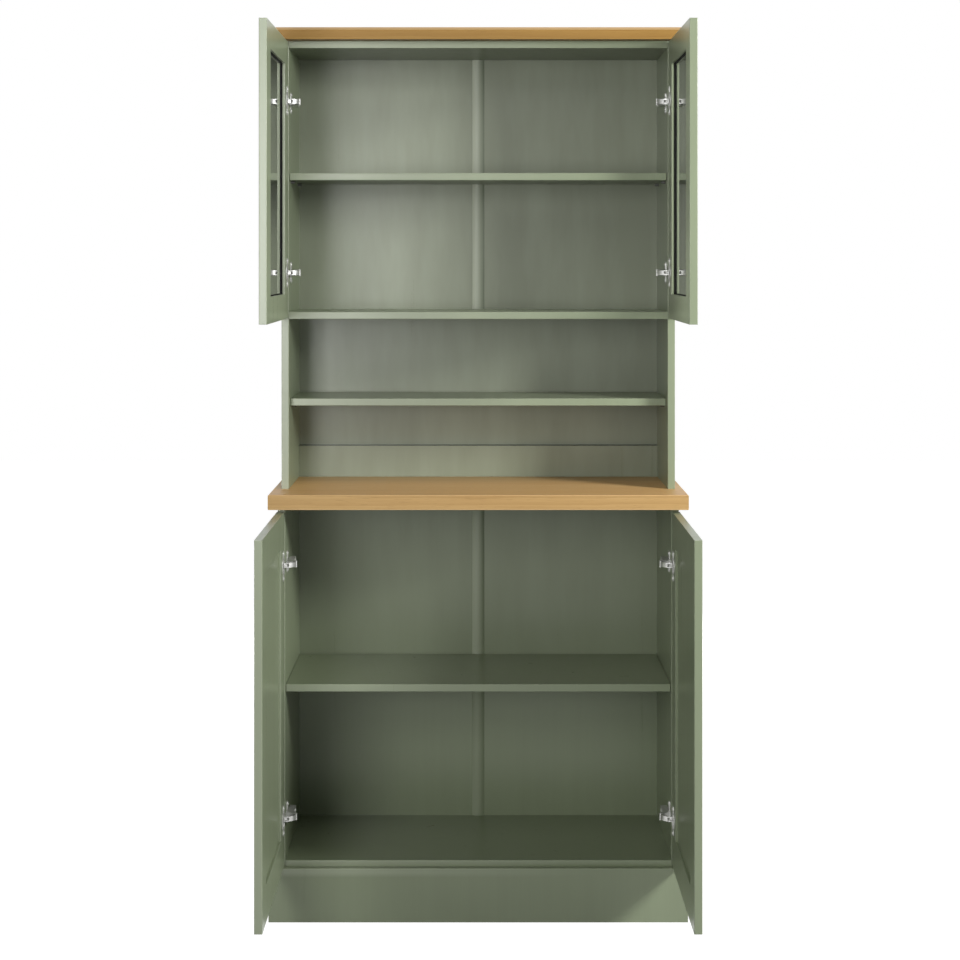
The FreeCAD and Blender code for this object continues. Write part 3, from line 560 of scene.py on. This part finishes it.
class OakSettings(bpy.types.PropertyGroup):
    light_grain: colour_property("Light grain", "Early wood", (0.60, 0.395, 0.17))
    dark_grain: colour_property("Dark grain", "Late wood", (0.43, 0.255, 0.095))
    # Painted light: this tone is screened over the level tops, towards the front
    top_light_tone: colour_property("Top tone", "Paler tone that the worn top faces take on", (0.46, 0.19, 0.06))
    # Painted shade: the undersides of the oak take this tone
    underside_shade: colour_property("Underside", "Unlacquered oak underneath", (0.16, 0.08, 0.03))
    underside_shade_share: share_property("Underside share", "How far the undersides take that tone", 0.8)
    top_painted_light: share_property("Top lift", "How much paler the top faces are", 1.0)
    pores: colour_property("Pores", "Short dark pores and knots", (0.20, 0.10, 0.035))
    # Paler arrises, bevel and foot: partly wear, mostly painted highlight
    wear_and_highlight: colour_property("Arris", "Paler tone along the edges", (0.74, 0.50, 0.25))
    cornice_tone: colour_property("Cornice tone", "How much deeper the cornice is", (0.66, 0.59, 0.36))
    # Painted highlights on the cornice's bevel and on the worktop's lower arris
    bevel_light: share_property("Bevel", "How much paler the bevel of the cornice is", 0.8)
    foot_light: share_property("Foot", "How much paler the lower arris of the worktop is", 0.8)
    roughness: share_property("Roughness", "Gloss of the clear lacquer", 0.42)
    edge_wear_and_highlight: share_property("Arris wear", "How much paler the edges are", 0.05)
    arris: length_property("Arris radius", "Radius at which edges catch the light", 0.0008)
    texture_depth: length_property("Texture depth", "Relief of the grain", 0.00006)


class MetalSettings(bpy.types.PropertyGroup):
    colour: colour_property("Nickel", "Main tone of the plating", (0.70, 0.70, 0.68))
    shade: colour_property("Nickel shade", "Darker clouds", (0.58, 0.58, 0.56))
    # Paler edges: partly polish, partly painted highlight
    wear_and_highlight: colour_property("Nickel edge", "Polished edges", (0.88, 0.88, 0.86))
    edge_wear_and_highlight: share_property("Edge wear", "How polished the edges are", 0.4)
    steel: colour_property("Steel", "Shelf pins and screws", (0.20, 0.20, 0.19))
    steel_shade: colour_property("Steel shade", "Oiled patches on pins and screws", (0.11, 0.11, 0.105))
    zinc: colour_property("Zinc", "Cam fittings", (0.55, 0.55, 0.54))
    zinc_shade: colour_property("Zinc shade", "Pits in the cam fittings", (0.36, 0.36, 0.35))
    beech_light: colour_property("Beech", "Dowels", (0.72, 0.54, 0.36))
    beech_dark: colour_property("Beech flecks", "Flecks in the dowels", (0.52, 0.36, 0.21))
    roughness: share_property("Roughness", "Gloss of the plating", 0.42)
    arris: length_property("Edge radius", "Radius at which pressed edges catch the light", 0.0004)


class GlassSettings(bpy.types.PropertyGroup):
    mirror: colour_property("Mirror", "Tone of what the glass mirrors at a low angle", (0.72, 0.75, 0.71))
    mirror_share: share_property("Mirror share", "How much of a mirror the glass is at a low angle", 0.95)
    tint_light: colour_property("Haze", "Tone of the wiped-off haze", (0.05, 0.055, 0.05))
    tint_dark: colour_property("Body", "Tone of the glass", (0.02, 0.026, 0.022))
    cover: share_property("Cover", "How much the glass hides when looked at squarely", 0.12)
    edge_power: bpy.props.FloatProperty(name="Angle power", default=4.0, min=0.1, max=10.0,
                                        description="How fast the glass turns to a mirror at low angles")


class SealSettings(bpy.types.PropertyGroup):
    # The near-black seal also stands in for the shadow in the groove round each pane
    colour: colour_property("Seal", "Rubber round the panes", (0.002, 0.002, 0.002))
    dust: colour_property("Dust", "Dust on the rubber", (0.006, 0.006, 0.006))
    width: length_property("Width", "How far the seal stands out from the frame", 0.0022)
    rise: length_property("Rise", "How far the seal stands up from the pane", 0.0028)
    pane_tuck: length_property("Pane tuck", "How far the pane goes into the frame", 0.0081)


class StudioSettings(bpy.types.PropertyGroup):
    floor_colour: colour_property("Floor", "Main tone of the floor", (0.26, 0.26, 0.26))
    floor_shade: colour_property("Floor shade", "Faint drifts in the floor", (0.23, 0.23, 0.23))
    floor_lift: share_property("Floor lift", "How far the floor's shadows are lifted", 0.95)
    ambient: share_property("Ambient", "Light from all round", 0.0)
    key_power: power_property("Key", "Soft box on the right, a little higher than the cornice", 76.0)
    side_power: power_property("Side", "Small soft box on the right, a little higher than the worktop", 3.6)
    high_left_power: power_property("High left", "Soft box on the left, near the cornice's height", 11.0)
    low_left_power: power_property("Low left", "Soft box on the left, as high as the niche's top", 19.0)
    top_power: power_property("Top", "Soft box in front, over the cornice", 5.6)
    rear_power: power_property("Rear", "Low soft box behind, for the back alone", 105.0)
    left_power: power_property("Left", "Low soft box on the left, for that side alone", 80.0)
    focal_length: bpy.props.FloatProperty(name="Focal length", description="Of the photograph's camera",
                                          default=73.19, min=1.0, unit="CAMERA")


# Operators

class BUFFET_OT_paint(bpy.types.Operator):
    """Give the painted boards and the joining strips their finish"""
    bl_idname = "buffet.paint"
    bl_label = "Paint the boards"

    def execute(self, context):
        settings = context.scene.buffet_paint
        finish(nodes_in_slot("painted_board"), sage_paint(settings))
        finish(nodes_in_slot("joining_strip"), strip_plastic(settings))
        return {"FINISHED"}


class BUFFET_OT_oak(bpy.types.Operator):
    """Give the worktop and the cornice their oak"""
    bl_idname = "buffet.oak"
    bl_label = "Lay the oak"

    def execute(self, context):
        finish(nodes_in_slot("oak"), honey_oak(context.scene.buffet_oak))
        return {"FINISHED"}


class BUFFET_OT_metal(bpy.types.Operator):
    """Finish the hinges, the pins and the fittings inside the boards"""
    bl_idname = "buffet.metal"
    bl_label = "Plate the fittings"

    def execute(self, context):
        settings = context.scene.buffet_metal
        finish(nodes_in_slot("hinge_steel"), plated_steel(settings))
        finish(nodes_in_slot("pin_steel"), dull_steel(settings))
        finish(nodes_in_slot("zinc"), cast_zinc(settings))
        finish(nodes_in_slot("beech"), plain_beech(settings))
        return {"FINISHED"}


class BUFFET_OT_glass(bpy.types.Operator):
    """Glaze the upper doors"""
    bl_idname = "buffet.glass"
    bl_label = "Glaze the doors"

    def execute(self, context):
        finish(nodes_in_slot("clear_glass"), clear_glass(context.scene.buffet_glass))
        return {"FINISHED"}


def add_piece(name, points, faces, material):
    """A mesh object at the origin with one material."""
    mesh = bpy.data.meshes.new(name)
    mesh.from_pydata(points.reshape(-1, 3).tolist(), [], faces.reshape(-1, 4).tolist())
    mesh.materials.append(material)
    piece = bpy.data.objects.new(name, mesh)
    bpy.context.scene.collection.objects.link(piece)
    return piece


def closed_grid_faces(rows, columns, turned):
    """The faces of a grid that closes on itself both ways; turned ones run the other way round."""
    row, column = np.meshgrid(np.arange(rows), np.arange(columns), indexing="ij")
    next_row, next_column = (row + 1) % rows, (column + 1) % columns
    ring = np.stack([row * columns + column, next_row * columns + column,
                     next_row * columns + next_column, row * columns + next_column], axis=-1)
    return ring[..., ::-1] if turned else ring


def seal_points(low, high, inward, settings):
    """A lip carried round an opening. Each corner gives one row of points: its y and z are the
    corner's, drawn in towards the middle by the lip's width there, and its x is the pane's face
    plus the lip's rise there, towards the inside of the door."""
    corners = np.array([(-1.0, -1.0), (1.0, -1.0), (1.0, 1.0), (-1.0, 1.0)])
    middle = np.array([(low.y + high.y) / 2, (low.z + high.z) / 2])
    half = np.array([(high.y - low.y) / 2, (high.z - low.z) / 2]) - settings.pane_tuck
    face = high.x if inward > 0 else low.x
    points = np.empty((len(corners), len(SEAL_LIP), 3))
    points[..., 0] = face + inward * settings.rise * SEAL_LIP[None, :, 1]
    points[..., 1:] = middle + corners[:, None, :] * (half - settings.width * SEAL_LIP[None, :, :1])
    return points


class BUFFET_OT_seals(bpy.types.Operator):
    """Fit the black seals between the panes and the frames of the upper doors, which also stand in for the
    shadow in the grooves round the panes
    """
    bl_idname = "buffet.seals"
    bl_label = "Fit the seals"

    def execute(self, context):
        settings = context.scene.buffet_seals
        rubber = black_rubber(settings)
        for side, inward in (("left", 1.0), ("right", -1.0)):
            low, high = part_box(f"upper_{side}_glass")
            points = seal_points(low, high, inward, settings)
            faces = closed_grid_faces(*points.shape[:2], turned=inward > 0)
            seal = add_piece(f"upper_{side}_glazing_seal", points, faces, rubber)
            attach(seal, f"upper_{side}_door")
        return {"FINISHED"}


def add_area_lamp(name, place, target, size, power):
    """A square lamp that looks at a point."""
    lamp = bpy.data.lights.new(name, "AREA")
    lamp.shape = "SQUARE"
    lamp.size = size
    lamp.energy = power
    lamp_object = bpy.data.objects.new(name, lamp)
    bpy.context.scene.collection.objects.link(lamp_object)
    lamp_object.location = place
    aim = Vector(target) - Vector(place)
    lamp_object.rotation_euler = aim.to_track_quat("-Z", "Y").to_euler()


class BUFFET_OT_studio(bpy.types.Operator):
    """Set up the floor, the white surroundings, the lamps and the camera"""
    bl_idname = "buffet.studio"
    bl_label = "Set up the studio"

    def execute(self, context):
        settings = context.scene.buffet_studio
        self.add_floor(settings)
        self.add_surroundings(settings)
        for name, (place, target, size, power) in LAMPS.items():
            add_area_lamp(name, place, target, size, getattr(settings, power))
        self.add_camera(settings)
        context.scene.view_settings.view_transform = "Standard"
        return {"FINISHED"}

    def add_floor(self, settings):
        """A square of floor under the buffet: a grid of two parameters at height zero."""
        ends = (-FLOOR_HALF, FLOOR_HALF)
        across, along = np.meshgrid(ends, ends)
        points = np.stack([across.ravel(), along.ravel(), np.zeros(across.size)], axis=1)
        mesh = bpy.data.meshes.new("floor")
        mesh.from_pydata(points.tolist(), [], [(0, 1, 3, 2)])
        mesh.materials.append(pale_floor(settings))
        floor = bpy.data.objects.new("floor", mesh)
        bpy.context.scene.collection.objects.link(floor)

    def add_surroundings(self, settings):
        """A white world for the camera, which lights everything else as far as the ambient setting."""
        world = bpy.data.worlds.new("studio")
        world.use_nodes = True
        bpy.context.scene.world = world
        tree = world.node_tree
        background = tree.nodes["Background"]
        background.inputs["Color"].default_value = (*WHITE, 1.0)
        seen = seen_directly(Signal(tree, None))
        strength = seen * (1.0 - settings.ambient) + settings.ambient
        tree.links.new(strength.socket, background.inputs["Strength"])

    def add_camera(self, settings):
        """The photograph's level camera, whose frame is shifted down from the horizon."""
        ahead_x, ahead_y = STRAIGHT_AHEAD
        camera = bpy.data.cameras.new("camera")
        camera.sensor_width = SENSOR_WIDTH
        camera.lens = settings.focal_length
        camera.shift_x = (IMAGE_SIZE / 2 - ahead_x) / IMAGE_SIZE
        camera.shift_y = (ahead_y - IMAGE_SIZE / 2) / IMAGE_SIZE
        camera.clip_end = 100.0
        camera_object = bpy.data.objects.new("camera", camera)
        bpy.context.scene.collection.objects.link(camera_object)
        camera_object.location = CAMERA_PLACE
        camera_object.rotation_euler = (math.radians(90.0), 0.0, 0.0)
        bpy.context.scene.camera = camera_object


class BUFFET_PT_sidebar(bpy.types.Panel):
    """The steps in order, with what each can be set to"""
    bl_idname = "BUFFET_PT_sidebar"
    bl_label = "Buffet"
    bl_space_type = "VIEW_3D"
    bl_region_type = "UI"
    bl_category = "Buffet"

    def draw(self, context):
        for operator, group in STEPS:
            box = self.layout.box()
            box.operator(operator.bl_idname)
            settings = getattr(context.scene, group)
            for name in settings.bl_rna.properties.keys():
                if name not in ("rna_type", "name"):
                    box.prop(settings, name)


STEPS = (
    (BUFFET_OT_paint, "buffet_paint"),
    (BUFFET_OT_oak, "buffet_oak"),
    (BUFFET_OT_metal, "buffet_metal"),
    (BUFFET_OT_glass, "buffet_glass"),
    (BUFFET_OT_seals, "buffet_seals"),
    (BUFFET_OT_studio, "buffet_studio"),
)
GROUPS = {
    "buffet_paint": PaintSettings,
    "buffet_oak": OakSettings,
    "buffet_metal": MetalSettings,
    "buffet_glass": GlassSettings,
    "buffet_seals": SealSettings,
    "buffet_studio": StudioSettings,
}
CLASSES = (*GROUPS.values(), *(operator for operator, group in STEPS), BUFFET_PT_sidebar)


def register():
    for kind in CLASSES:
        bpy.utils.register_class(kind)
    for name, kind in GROUPS.items():
        setattr(bpy.types.Scene, name, bpy.props.PointerProperty(type=kind))


def unregister():
    for name in GROUPS:
        delattr(bpy.types.Scene, name)
    for kind in reversed(CLASSES):
        bpy.utils.unregister_class(kind)


def main():
    register()
    bpy.ops.buffet.paint()
    bpy.ops.buffet.oak()
    bpy.ops.buffet.metal()
    bpy.ops.buffet.glass()
    bpy.ops.buffet.seals()
    bpy.ops.buffet.studio()


if __name__ == "__main__":
    main()
